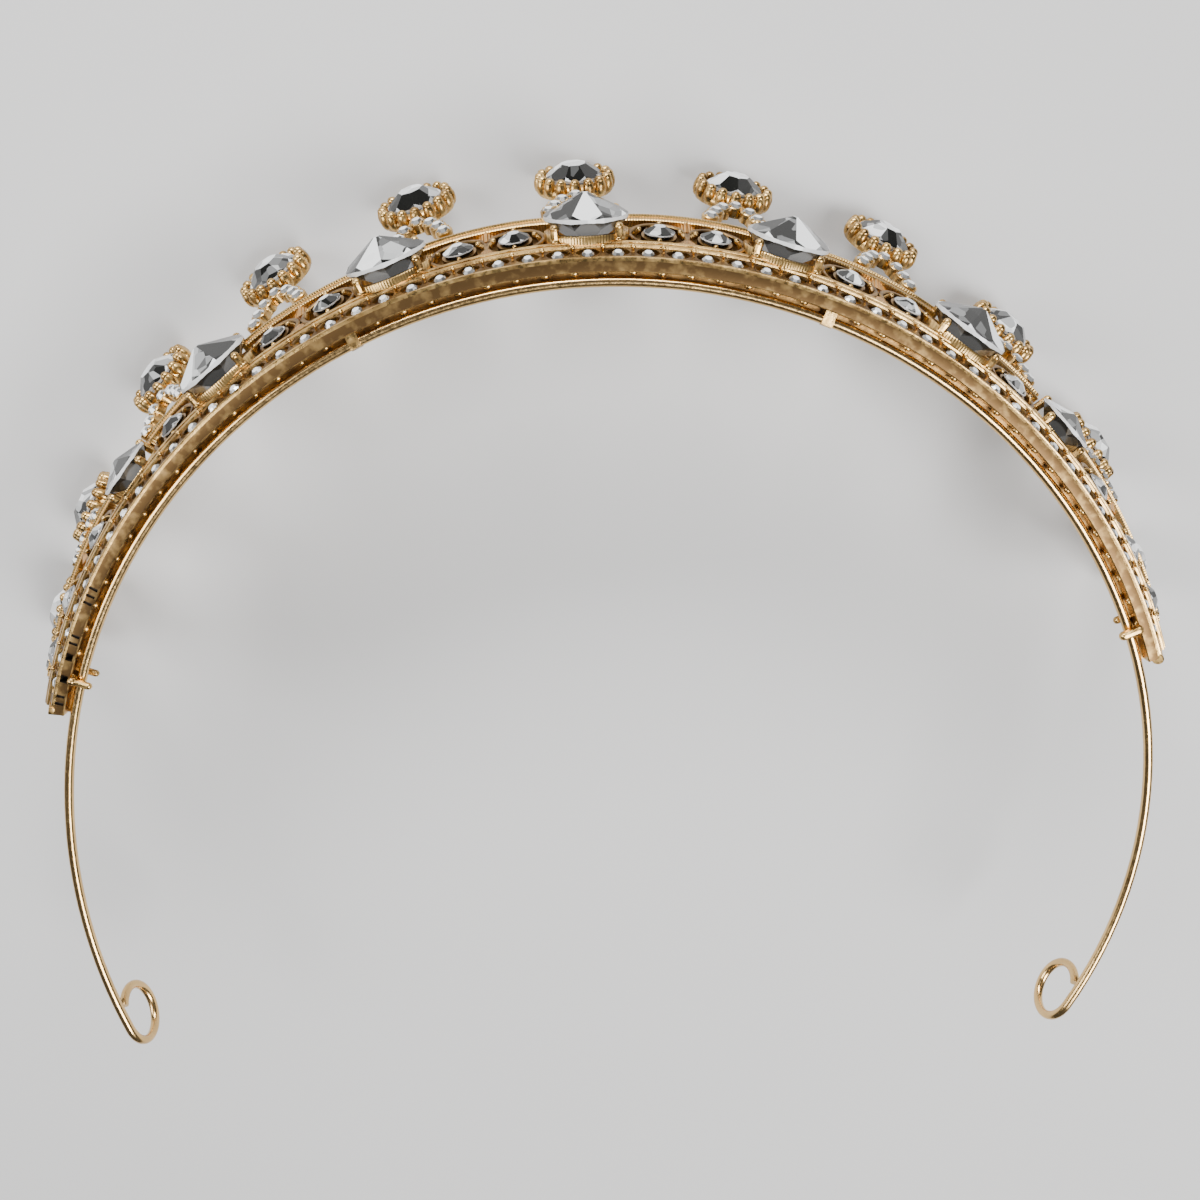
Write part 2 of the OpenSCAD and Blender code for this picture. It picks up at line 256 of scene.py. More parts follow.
def open_radius():
    """Radius of the openwork's front face at the ledge."""
    rail = tiara().rail
    return rail.base_radius + rail.height * math.sin(rail.lean) - 0.4 * MM


def top_slant():
    """Slant height of a top rail's middle at mid span."""
    return tiara().openwork.height - tiara().openwork.top_rail / 2


def row_place(degrees, slant, out=0.0):
    """Place on the rail's front face."""
    rail = tiara().rail
    return swing(degrees) @ shift(0, -rail.base_radius, 0) @ tip(rail.lean) @ shift(0, -out, slant)


def openwork_place(degrees, slant):
    """Place on the openwork's front face."""
    return (swing(degrees) @ shift(0, -open_radius(), ledge_height())
            @ tip(tiara().openwork.lean) @ shift(0, 0, slant))


def large_place(degrees):
    """Middle of a large stone."""
    stones = tiara().stones
    reach = tiara().rail.base_radius + stones.large_out
    return swing(degrees) @ shift(0, -reach, stones.large_height) @ tip(stones.large_lean)


def large_places():
    """Places of the large stones, with the first and the last one set deeper."""
    places = [large_place(degrees) @ FACE_OUT for degrees in LARGE_ANGLES]
    for end in (0, -1):
        places[end] = places[end] @ shift(0, 0, -0.5 * MM)
    return places


def finial_angle(index):
    """Angle from the front, in degrees, of a finial."""
    finials = tiara().finials
    side = index - FINIALS[-1] // 2
    if index in (FINIALS[0], FINIALS[-1]):
        return math.copysign(math.degrees(finials.end_angle), side)
    return math.degrees(side * finials.step + finials.shift)


def arch_lean(index):
    """Lean of an arch from upright."""
    return tiara().openwork.lean - math.radians(LEAN_BACK[index])


def arch_place(index):
    """Foot of an arch, on the top rail."""
    openwork = tiara().openwork
    radius = open_radius() + top_slant() * math.sin(openwork.lean)
    height = ledge_height() + top_slant() * math.cos(openwork.lean)
    return swing(finial_angle(index)) @ shift(0, -radius, height) @ tip(arch_lean(index))


def ring_slant(index):
    """Slant height of a finial's middle above its arch's feet."""
    finials = tiara().finials
    lean = arch_lean(index)
    reach = (finials.ring_radius + finials.claw_radius) * math.cos(lean + finials.ring_lean)
    below = ledge_height() + top_slant() * math.cos(tiara().openwork.lean)
    return (base_face().z - below - finials.clearance - reach) / math.cos(lean)


def ring_place(index):
    """Middle of a finial."""
    return arch_place(index) @ shift(0, 0, ring_slant(index)) @ tip(tiara().finials.ring_lean)


# Modelling


def start():
    """Leaves edit mode and deselects everything."""
    if bpy.context.mode != "OBJECT":
        bpy.ops.object.mode_set(mode="OBJECT")
    bpy.ops.object.select_all(action="DESELECT")


def pick(piece):
    """Makes one piece the only selected one."""
    start()
    piece.select_set(True)
    bpy.context.view_layer.objects.active = piece


def edit(piece):
    """Opens a piece in edit mode with all of it selected."""
    pick(piece)
    bpy.ops.object.mode_set(mode="EDIT")
    bpy.ops.mesh.select_mode(type="VERT")
    bpy.ops.mesh.select_all(action="SELECT")


def named(piece, name):
    """Gives an object and its mesh a name."""
    piece.name = name
    piece.data.name = name
    return piece


def outline(name, corners):
    """Flat face, from a circle whose corners are moved to their places."""
    start()
    bpy.ops.mesh.primitive_circle_add(vertices=len(corners), fill_type="NGON")
    piece = named(bpy.context.object, name)
    for vertex, corner in zip(piece.data.vertices, corners):
        vertex.co = corner
    return piece


def close_up(piece):
    """Turns all faces outwards and leaves edit mode."""
    bpy.ops.mesh.select_all(action="SELECT")
    bpy.ops.mesh.normals_make_consistent(inside=False)
    start()
    return piece


def prism(name, corners, low, high):
    """Plate with a flat outline, between two heights."""
    piece = outline(name, [(x, y, low) for x, y in corners])
    edit(piece)
    bpy.ops.mesh.extrude_region_move(TRANSFORM_OT_translate={"value": (0, 0, high - low)})
    return close_up(piece)


def millimetres(corners):
    """Corners that are given in millimetres."""
    return [tuple(part * MM for part in corner) for corner in corners]


def plate(name, corners, low, high):
    """Plate with a flat outline, between two heights, all given in millimetres."""
    return prism(name, millimetres(corners), low * MM, high * MM)


def rectangle(half_width, low, high):
    """Corners of a rectangle that stands across the Y axis."""
    return [(-half_width, low), (half_width, low), (half_width, high), (-half_width, high)]


def sweep(name, section, places):
    """Bar with the given section, extruded from one place to the next."""
    piece = outline(name, [places[0] @ Vector(corner) for corner in section])
    edit(piece)
    for before, after in zip(places, places[1:]):
        bpy.ops.mesh.extrude_region_move()
        step = after @ before.inverted()
        mesh = bmesh.from_edit_mesh(piece.data)
        for vertex in mesh.verts:
            if vertex.select:
                vertex.co = step @ vertex.co
        bmesh.update_edit_mesh(piece.data)
    return close_up(piece)


def along(path, up=(0, 0, 1)):
    """Places at the points of a path, with Z along it and Y as near to up as it can be."""
    points = [Vector(point) for point in path]
    places = []
    for k, point in enumerate(points):
        ahead = points[min(k + 1, len(points) - 1)] - points[max(k - 1, 0)]
        on = ahead.normalized()
        side = Vector(up).cross(on).normalized()
        axes = Matrix((side, on.cross(side), on)).transposed().to_4x4()
        places.append(shift(*point) @ axes)
    return places


def round_section(radius, sides):
    """Corners of a round bar's section."""
    turns = [2 * math.pi * k / sides for k in range(sides)]
    return [(radius * math.cos(turn), radius * math.sin(turn), 0) for turn in turns]


def square_section(half_width, low, high):
    """Corners of a square bar's section."""
    return [(x, y, 0) for x, y in rectangle(half_width, low, high)]


def flat_section(half_width, low, high, edge):
    """Corners of a flat bar's section, with its upper edges cut off."""
    upper = high - edge
    inner = half_width - edge
    return [(-half_width, low, 0), (half_width, low, 0), (half_width, upper, 0),
            (inner, high, 0), (-inner, high, 0), (-half_width, upper, 0)]


def bead(name, radius, middle, stretch=(1, 1, 1), segments=10, rings=7):
    """Small ball, stretched and set in its place."""
    start()
    bpy.ops.mesh.primitive_uv_sphere_add(segments=segments, ring_count=rings, radius=radius)
    piece = named(bpy.context.object, name)
    edit(piece)
    bpy.ops.transform.resize(value=stretch)
    bpy.ops.transform.translate(value=middle)
    start()
    return piece


def ring(name, corners, steps):
    """Ring spun from an outline of distances from Z and heights."""
    piece = outline(name, [(x, 0, z) for x, z in corners])
    edit(piece)
    bpy.ops.mesh.delete(type="ONLY_FACE")
    bpy.ops.mesh.select_all(action="SELECT")
    bpy.ops.mesh.spin(steps=steps, angle=2 * math.pi, center=(0, 0, 0), axis=(0, 0, 1))
    bpy.ops.mesh.select_all(action="SELECT")
    bpy.ops.mesh.remove_doubles(threshold=0.001 * MM)
    return close_up(piece)


def beside(radius, corners):
    """Corners in millimetres for a ring, measured outwards from a radius."""
    return [(radius + x * MM, z * MM) for x, z in corners]


def join(name, pieces):
    """One object out of several."""
    start()
    for piece in pieces:
        piece.select_set(True)
    bpy.context.view_layer.objects.active = pieces[0]
    if len(pieces) > 1:
        bpy.ops.object.join()
    return named(pieces[0], name)


def settle(piece):
    """Writes a piece's place into its mesh."""
    pick(piece)
    bpy.ops.object.transform_apply(location=True, rotation=True, scale=True)
    return piece


def set_down(piece, place):
    """Puts a piece in its place, with the place in its mesh."""
    piece.matrix_world = place @ piece.matrix_world
    return settle(piece)


def copy_to(piece, place):
    """Copy of a piece, with its own mesh, in another place."""
    twin = piece.copy()
    twin.data = piece.data.copy()
    twin.matrix_world = place
    bpy.context.scene.collection.objects.link(twin)
    return twin


def repeat(pattern, places, name):
    """One object made of a copy of the pattern in each place. The pattern itself goes."""
    twins = [copy_to(pattern, place) for place in places]
    bpy.data.objects.remove(pattern)
    return settle(join(name, twins))


def lay_out(pattern, places, name):
    """One object made of a copy of the pattern in each upright place, and laid down."""
    return repeat(pattern, [lay_down() @ place for place in places], name)


def modify(piece, kind, **settings):
    """Adds a modifier and applies it."""
    pick(piece)
    modifier = piece.modifiers.new(kind, kind)
    for setting, value in settings.items():
        setattr(modifier, setting, value)
    bpy.ops.object.modifier_apply(modifier=modifier.name)
    return piece


def cover(piece, *materials):
    """Gives a piece its materials in order."""
    for material in materials:
        piece.data.materials.append(material)
    return piece


def finish(piece, material, smooth=35):
    """Gives a piece its material if it has none, its shading and its body."""
    pick(piece)
    if not piece.data.materials:
        cover(piece, material)
    if smooth:
        bpy.ops.object.shade_smooth_by_angle(angle=math.radians(smooth))
    else:
        bpy.ops.object.shade_flat()
    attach(piece, "root")
    return piece


# Materials


def new_material(name, values):
    """Material with its even values set, and with its nodes to fill in when it is new."""
    material = bpy.data.materials.get(name)
    if material:
        return material, None, None
    material = bpy.data.materials.new(name)
    material.use_nodes = True
    shader = material.node_tree.nodes["Principled BSDF"]
    for socket, value in values.items():
        shader.inputs[socket].default_value = value
    return material, material.node_tree, shader


def add(tree, kind, **settings):
    """Node with its settings."""
    node = tree.nodes.new(kind)
    for setting, value in settings.items():
        setattr(node, setting, value)
    return node


def maths(tree, operation, *values):
    """Math node on numbers and on other nodes' outputs."""
    node = add(tree, "ShaderNodeMath", operation=operation)
    for socket, value in zip(node.inputs, values):
        if isinstance(value, bpy.types.NodeSocket):
            tree.links.new(value, socket)
        else:
            socket.default_value = value
    return node.outputs[0]


def own_spot(tree):
    """The object's own coordinates."""
    return add(tree, "ShaderNodeTexCoord").outputs["Object"]


def facet_painted_reflection(tree):
    """Painted reflection tone of a facet, from the stone's attribute."""
    return add(tree, "ShaderNodeAttribute", attribute_name="tone").outputs["Fac"]


def noise(tree, scale, detail=3.0, stretch=(1, 1, 1)):
    """Noise on the object's own coordinates."""
    mapping = add(tree, "ShaderNodeMapping")
    mapping.inputs["Scale"].default_value = stretch
    texture = add(tree, "ShaderNodeTexNoise")
    texture.inputs["Scale"].default_value = scale
    texture.inputs["Detail"].default_value = detail
    tree.links.new(own_spot(tree), mapping.inputs["Vector"])
    tree.links.new(mapping.outputs["Vector"], texture.inputs["Vector"])
    return texture.outputs["Fac"]


def spread(tree, value, low, high, out_low, out_high):
    """Maps a value from one range to another."""
    node = add(tree, "ShaderNodeMapRange")
    node.inputs["From Min"].default_value = low
    node.inputs["From Max"].default_value = high
    node.inputs["To Min"].default_value = out_low
    node.inputs["To Max"].default_value = out_high
    tree.links.new(value, node.inputs["Value"])
    return node.outputs["Result"]


def clouds(tree, scale, reach=(0.35, 0.7), share=(0, 1), detail=3.0):
    """Soft patches of noise, whose reach is mapped to a share."""
    return spread(tree, noise(tree, scale, detail), *reach, *share)


def blend(tree, share, first, second):
    """Mix of two colours."""
    node = add(tree, "ShaderNodeMix", data_type="RGBA")
    node.inputs[6].default_value = (*first, 1)
    node.inputs[7].default_value = (*second, 1)
    tree.links.new(share, node.inputs[0])
    return node.outputs[2]


def bump(tree, shader, height, strength, distance):
    """Bump on a shader."""
    node = add(tree, "ShaderNodeBump")
    node.inputs["Strength"].default_value = strength
    node.inputs["Distance"].default_value = distance
    tree.links.new(height, node.inputs["Height"])
    tree.links.new(node.outputs["Normal"], shader.inputs["Normal"])


def paint(tree, shader, share, first, second):
    """Base colour that is mixed from two of the tiara's colours."""
    colours = tiara().colours
    mixed = blend(tree, share, getattr(colours, first), getattr(colours, second))
    tree.links.new(mixed, shader.inputs["Base Color"])


def arc_stripes(tree, count):
    """Waves that repeat with the angle round the tiara's axis."""
    parts = add(tree, "ShaderNodeSeparateXYZ")
    tree.links.new(own_spot(tree), parts.inputs[0])
    behind = maths(tree, "SUBTRACT", parts.outputs["Y"], lay_down().translation.y)
    turn = maths(tree, "ARCTAN2", parts.outputs["X"], behind)
    return maths(tree, "SINE", maths(tree, "MULTIPLY", turn, count))


def cast_gold():
    """Cast and plated gold, duller in cloudy patches."""
    material, tree, shader = new_material("cast_gold", {"Metallic": 1})
    if tree:
        paint(tree, shader, clouds(tree, 420), "gold", "patina")
        rough = clouds(tree, 1500, (0.3, 0.7), (0.2, 0.42))
        tree.links.new(rough, shader.inputs["Roughness"])
        bump(tree, shader, noise(tree, 2600), 0.35, 0.06 * MM)
    return material


def painted_shade_gold():
    """Gold darkened with painted shade, for the low frames and the inner flange."""
    material, tree, shader = new_material("painted_shade_gold", {"Metallic": 1, "Roughness": 0.38})
    if tree:
        paint(tree, shader, clouds(tree, 600), "patina", "strip")
        bump(tree, shader, noise(tree, 2600), 0.35, 0.06 * MM)
    return material


def leaf_gold():
    """Warm gold of the leaves, with fine ribs."""
    material, tree, shader = new_material("leaf_gold", {"Metallic": 1, "Roughness": 0.3})
    if tree:
        paint(tree, shader, clouds(tree, 700, (0.4, 0.7), (0, 0.7)), "leaf", "patina")
        bump(tree, shader, arc_stripes(tree, 1400), 0.6, 0.1 * MM)
    return material


def hatched_gold():
    """Cast gold with fine grooves across the band."""
    material, tree, shader = new_material("hatched_gold", {"Metallic": 1, "Roughness": 0.3})
    if tree:
        grooves = arc_stripes(tree, 1400)
        paint(tree, shader, spread(tree, grooves, -1, 1, 0.55, 0.1), "gold", "patina")
        bump(tree, shader, grooves, 0.25, 0.05 * MM)
    return material


def wire_gold():
    """Smooth drawn wire."""
    material, tree, shader = new_material("wire_gold", {"Metallic": 1})
    if tree:
        paint(tree, shader, clouds(tree, 160, share=(0, 0.45)), "wire", "patina")
        rough = clouds(tree, 2200, (0.3, 0.7), (0.16, 0.28))
        tree.links.new(rough, shader.inputs["Roughness"])
        bump(tree, shader, noise(tree, 3500), 0.12, 0.02 * MM)
    return material


def strip_gold():
    """Brushed flat bottom face, with fine scratches; its dark colour is a painted dark reflection, and
    painted shade on the row faces.
    """
    material, tree, shader = new_material("strip_gold", {"Metallic": 1, "Roughness": 0.42})
    if tree:
        # Mostly the dark strip colour: painted dark reflection.
        paint(tree, shader, clouds(tree, 700, (0.48, 0.7), (0.03, 0.35), 5), "strip", "gold")
        bump(tree, shader, noise(tree, 900, stretch=(1, 1, 4)), 0.25, 0.05 * MM)
    return material


def hole_painted_shade():
    """Painted shade deep in the square holes."""
    material, tree, shader = new_material("hole_painted_shade", {"Metallic": 0.5, "Roughness": 0.5})
    if tree:
        paint(tree, shader, clouds(tree, 900, share=(0, 0.4)), "shade", "strip")
    return material


def crystal():
    """Cut glass in front of its silvered back, whose facets take broken tones of painted reflection, the
    brightest glowing as painted glints.
    """
    values = {"Transmission Weight": 0.12, "Roughness": 0.06, "IOR": 1.6, "Specular IOR Level": 0.25}
    material, tree, shader = new_material("cut_crystal", values)
    if tree:
        cells = add(tree, "ShaderNodeTexVoronoi")
        cells.inputs["Scale"].default_value = 640
        tree.links.new(own_spot(tree), cells.inputs["Vector"])
        # Facet tones broken up in cells mix the shade and crystal colours into painted dark reflections and
        # painted highlights.
        facet = maths(tree, "MULTIPLY", facet_painted_reflection(tree), 0.75)
        broken = maths(tree, "MULTIPLY_ADD", cells.outputs["Color"], 0.5, facet)
        tones = spread(tree, broken, 0.42, 0.85, 0, 1)
        paint(tree, shader, tones, "shade", "crystal")
        # The brightest facets glow with the crystal colour: painted glints, though the stone is no lamp.
        shader.inputs["Emission Color"].default_value = (*tiara().colours.crystal, 1)
        painted_glint = spread(tree, tones, 0.6, 1, 0, 0.16)
        tree.links.new(painted_glint, shader.inputs["Emission Strength"])
    return material


def foil():
    """Silvered foil on the back of a stone, whose facets take painted reflection tones from the attribute.
    """
    material, tree, shader = new_material("foil", {"Metallic": 0.6, "Roughness": 0.22})
    if tree:
        paint(tree, shader, facet_painted_reflection(tree), "shade", "foil")
    return material


def girdle():
    """Unpolished rim of a stone."""
    clear = (*tiara().colours.crystal, 1)
    values = {"Base Color": clear, "Transmission Weight": 0.35, "Roughness": 0.3, "IOR": 1.6}
    return new_material("girdle", values)[0]


def pale_floor():
    """Matt pale floor."""
    material, tree, shader = new_material("pale_floor", {"Roughness": 0.7})
    if tree:
        pale = tiara().colours.floor
        lighter = [min(1, 1.03 * part) for part in pale]
        mixed = blend(tree, clouds(tree, 6, (0.3, 0.7)), pale, lighter)
        tree.links.new(mixed, shader.inputs["Base Color"])
    return material


# Stones


def facet_cut(normal, point):
    """Cuts away what lies beyond a plane and closes the cut with a facet."""
    bpy.ops.mesh.select_all(action="SELECT")
    bpy.ops.mesh.bisect(plane_co=point, plane_no=normal.normalized(), use_fill=True,
                        clear_outer=True, threshold=0.0001 * MM)


def facet_ring(count, offset, run, rise, radius, height):
    """Cuts a ring of facets whose plane passes the girdle at a radius and height."""
    for k in range(count):
        turn = 2 * math.pi * (k + offset) / count
        ahead = Vector((math.cos(turn), math.sin(turn), 0))
        facet_cut(ahead * rise + Vector((0, 0, run)), ahead * radius + Vector((0, 0, height)))


def drum(name, sides, radius, low, high):
    """Round drum between two heights, opened in edit mode."""
    start()
    bpy.ops.mesh.primitive_cylinder_add(vertices=sides, radius=radius, depth=high - low,
                                        location=(0, 0, (low + high) / 2))
    piece = settle(named(bpy.context.object, name))
    edit(piece)
    return piece


def share_round(face):
    """Share of a whole turn at which a facet lies."""
    return math.atan2(face.center.y, face.center.x) / (2 * math.pi) % 1


def cut_stone(name, diameter, table, crown, pavilion, back=0.6):
    """Round stone with table, crown and girdle, and a silvered pavilion, whose facets take painted
    reflection tones; the pavilion's tones are dimmed by back to a painted dark reflection.
    """
    radius = diameter / 2
    edge = 0.022 * diameter
    mains = 8
    stone = drum(name, 4 * mains, radius, -pavilion, crown)
    run = radius - table / 2
    rise = crown - edge
    facet_ring(mains, 0, run, rise, radius * 0.985, edge)
    facet_ring(2 * mains, 0.5, run, rise * 1.35, radius * 0.995, edge)
    facet_ring(mains, 0.5, run, rise * 0.62, table / 2 * 1.02, crown)
    drop = pavilion - edge
    facet_ring(mains, 0, -radius, drop, radius * 0.985, -edge)
    facet_ring(2 * mains, 0.5, -radius, drop * 1.16, radius * 0.995, -edge)
    cover(close_up(stone), crystal(), foil(), girdle())
    tones = stone.data.attributes.new("tone", "FLOAT", "FACE")
    for face in stone.data.polygons:
        # Each facet takes a painted reflection tone by its angle and height.
        level = int(8 * (face.center.z + pavilion) / (crown + pavilion))
        tone = FACET_REFLECTIONS[(int(share_round(face) * len(FACET_REFLECTIONS)) + 3 * level) % len(FACET_REFLECTIONS)]
        # The table takes a painted highlight.
        if face.normal.z > 0.98:
            tone = 0.8
        # Pavilion facets get their painted reflection dimmed by back, a painted dark reflection.
        if face.normal.z < -0.2:
            tone *= back
            face.material_index = 1
        elif face.normal.z < 0.1:
            face.material_index = 2
        tones.data[face.index].value = tone
    return stone


def chip_stone(name, diameter, height):
    """Small flat backed stone with eight facets round its table."""
    radius = diameter / 2
    stone = drum(name, 16, radius, 0, height)
    facet_ring(8, 0, radius * 0.42, height * 0.6, radius * 0.98, height * 0.4)
    cover(close_up(stone), crystal(), foil())
    tones = stone.data.attributes.new("tone", "FLOAT", "FACE")
    for face in stone.data.polygons:
        # Facets take painted reflection tones, and the table a painted highlight at full tone.
        tone = CHIP_REFLECTIONS[int(share_round(face) * len(CHIP_REFLECTIONS) + 0.5) % len(CHIP_REFLECTIONS)]
        table = face.normal.z > 0.98
        tones.data[face.index].value = 1 if table else tone
        face.material_index = 0 if table else 1
    return stone


def set_stones(pattern, places, node):
    """Copies a stone to each of its numbered places, where it stands for its CAD node."""
    for k, place in places:
        turned = lay_down() @ place @ spin(0.4 * k)
        stone = settle(named(copy_to(pattern, turned), f"cut_{node}_{k}"))
        finish(stone, crystal(), smooth=0)
        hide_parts(f"{node}_{k}")
    bpy.data.objects.remove(pattern)


class TIARA_OT_large_stones(bpy.types.Operator):
    """Cuts the large stones"""

    bl_idname = "tiara.large_stones"
    bl_label = "Large stones"

    def execute(self, context):
        stones = tiara().stones
        places = list(enumerate(large_places(), start=1))
        # back dims the pavilions to painted dark reflection, darkest on the middle large stones.
        pattern = cut_stone("large_pattern", stones.large, 0.9 * MM, 2.7 * MM, 4 * MM, back=0.15)
        set_stones(pattern, places[1:-1], "large_stone")
        pattern = cut_stone("outer_pattern", stones.outer, 0.9 * MM, 1.5 * MM, 3.4 * MM, back=0.3)
        set_stones(pattern, (places[0], places[-1]), "large_stone")
        return {"FINISHED"}


class TIARA_OT_frame_stones(bpy.types.Operator):
    """Cuts the stones of the pointed frames"""

    bl_idname = "tiara.frame_stones"
    bl_label = "Frame stones"

    def execute(self, context):
        pattern = cut_stone("mid_pattern", tiara().stones.mid, 1.4 * MM, 0.75 * MM, 1.5 * MM)
        middle = tiara().openwork.frame_middle
        seat = tip(math.radians(-6)) @ FACE_OUT @ shift(0, 0, 0.25 * MM)
        places = [(k, openwork_place(a, middle) @ seat) for k, a in enumerate(MID_ANGLES, start=1)]
        set_stones(pattern, places, "mid_stone")
        return {"FINISHED"}


class TIARA_OT_finial_stones(bpy.types.Operator):
    """Cuts the stones of the finials"""

    bl_idname = "tiara.finial_stones"
    bl_label = "Finial stones"

    def execute(self, context):
        pattern = cut_stone("finial_pattern", tiara().stones.finial, 3.2 * MM, 1.6 * MM, 3 * MM)
        places = [(i + 1, ring_place(i) @ FACE_OUT @ shift(0, 0, 0.8 * MM)) for i in FINIALS]
        set_stones(pattern, places, "finial_stone")
        return {"FINISHED"}


def border_angles():
    """Angles of the small stones in the rail."""
    rail = tiara().rail
    last = int((math.degrees(rail.half_angle) - 1.5) / math.degrees(rail.step))
    return [k * math.degrees(rail.step) for k in range(-last, last + 1)]


def arm_point(index, share):
    """Point on an arch's right arm, in the arch's own plane, from its foot to its top."""
    finials = tiara().finials
    top = ring_slant(index) - finials.ring_radius - finials.claw_radius + 0.2 * MM
    out = finials.arch_half_width * (1 - share) + 0.7 * MM * math.sin(math.pi * share)
    return Vector((out, share * top, 0))


def arch_stone_spots(index):
    """Spots of an arch's seven stones, in the arch's own plane."""
    spots = []
    for share in (0.27, 0.49, 0.7):
        spot = arm_point(index, share)
        spots += [spot, Vector((-spot.x, spot.y, 0))]
    return spots + [Vector((0, arm_point(index, 1).y - 1.3 * MM, 0))]


class TIARA_OT_small_stones(bpy.types.Operator):
    """Sets the small stones of the rail and of the arches"""

    bl_idname = "tiara.small_stones"
    bl_label = "Small stones"

    def execute(self, context):
        middle = tiara().rail.row_middle
        pattern = chip_stone("border_pattern", tiara().stones.border, 0.5 * MM)
        places = [row_place(a, middle, -0.4 * MM) @ FACE_OUT @ spin(0.9 * k)
                  for k, a in enumerate(border_angles())]
        border = finish(lay_out(pattern, places, "border_row"), crystal(), smooth=0)
        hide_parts("border_stones")
        pattern = chip_stone("arch_pattern", tiara().stones.arch, 0.7 * MM)
        places = [arch_place(i) @ FACE_OUT @ shift(*spot) @ shift(0, 0, 0.1 * MM)
                  for i in FINIALS for spot in arch_stone_spots(i)]
        arches = finish(lay_out(pattern, places, "arch_rows"), crystal(), smooth=0)
        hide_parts("arch_stones")
        return {"FINISHED"}


# Castings


def lens(width, height, steps):
    """Corners of a pointed oval, with its tips on the X axis."""
    radius = (width * width + height * height) / (4 * height)
    half = math.asin(width / 2 / radius)
    turns = [-half + 2 * half * k / steps for k in range(steps)]
    upper = [(radius * math.sin(t), radius * math.cos(t) - radius + height / 2) for t in turns]
    return upper + [(-x, -y) for x, y in upper]


def rail_section():
    """Corners of the rail's section at the front, from the flat bottom face upwards."""
    rail = tiara().rail
    outer = -rail.base_radius
    inner = outer + rail.strip_width
    back = -(open_radius() - tiara().openwork.thickness)
    flat = [(0, inner, 0.12 * MM), (0, inner - 0.12 * MM, 0),
            (0, outer + 0.25 * MM, 0), (0, outer, 0.08 * MM)]
    # Slant height and reach of each corner of the front face
    front = millimetres([(0.15, 0.12), (0.36, 0.12), (0.45, 0), (2.5, 0), (2.58, 0.22),
                         (2.92, 0.26), (3.0, 0.06), (3.14, 0.06), (3.22, 0.3), (3.6, 0.3)])
    front = [row_place(0, slant, reach).translation for slant, reach in front]
    return flat + front + [(0, back, ledge_height()), (0, inner, 1.8 * MM)]


def end_cutters():
    """Blocks that cut grooves and square holes into the left end of the bottom face."""
    rail = tiara().rail
    middle = shift(0, rail.strip_width / 2 - rail.base_radius, 0)
    groove = plate("groove", rectangle(0.18, -0.6, 0.5), -0.5, 0.35)
    hole = plate("hole", rectangle(0.5, -0.45, 0.4), -0.5, 1.3)
    return [repeat(groove, [swing(a) @ middle for a in GROOVES], "grooves"),
            repeat(hole, [swing(a) @ middle for a in SQUARE_HOLES], "holes")]


def rail_finish(face, axis):
    """Number of a face's finish: cast, brushed flat, or painted shade deep in the square holes; the brushed
    finish carries painted dark reflection on the flat face and painted shade on the row.
    """
    rail = tiara().rail
    depth = axis.z - face.center.z
    inwards = rail.base_radius - (face.center - axis).xy.length
    # Faces deep in the square holes take painted shade.
    if 0.1 * MM < depth < 1.35 * MM and 0.1 * MM < inwards < 1.4 * MM:
        return 2
    flat = face.normal.z > 0.99 and depth < 0.05 * MM
    # The row's low face between the rims takes the dark brushed finish as painted shade.
    row = abs(face.normal.z - math.sin(rail.lean)) < 0.02 and 0.35 * MM < depth < 2.1 * MM
    return 1 if flat or row else 0


class TIARA_OT_rail(bpy.types.Operator):
    """Models the lower rail with its flat face, its stone row and its ledge"""

    bl_idname = "tiara.rail"
    bl_label = "Rail"

    def execute(self, context):
        rail = tiara().rail
        half = math.degrees(rail.half_angle)
        steps = 146
        places = [swing(-half + 2 * half * k / steps) for k in range(steps + 1)]
        body = sweep("rail", rail_section(), places)
        recess = prism("recess", lens(rail.recess_width, rail.recess_height, 7), -0.5 * MM, 0.6 * MM)
        spots = [row_place(a, rail.row_middle) @ FACE_OUT for a in border_angles()]
        cutter = join("cutter", [repeat(recess, spots, "recesses"), *end_cutters()])
        modify(body, "BOOLEAN", operation="DIFFERENCE", object=cutter, solver="EXACT")
        bpy.data.objects.remove(cutter)
        set_down(body, lay_down())
        body.data.materials.clear()
        cover(body, cast_gold(), strip_gold(), hole_painted_shade())
        axis = lay_down().translation
        for face in body.data.polygons:
            face.material_index = rail_finish(face, axis)
        finish(body, cast_gold(), smooth=30)
        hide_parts("band")
        return {"FINISHED"}


def end_tabs():
    """Round tab at the right end of the rail and square one at its left end."""
    rail = tiara().rail
    half = math.degrees(rail.half_angle)
    narrow = ring("tab", millimetres([(0.01, 0.02), (0.6, 0.02), (0.72, 0.14),
                                      (0.72, 2.5), (0.6, 2.7), (0.01, 2.7)]), 24)
    square = plate("tab", rectangle(0.5, -0.75, 0.75), 0.02, 2.6)
    modify(square, "BEVEL", width=0.15 * MM, segments=2)
    foot = shift(0, 0.35 * MM - rail.base_radius, 0) @ tip(math.radians(20))
    return [set_down(tab, lay_down() @ swing(degrees) @ foot)
            for tab, degrees in ((narrow, half + 0.05), (square, 0.25 - half))]


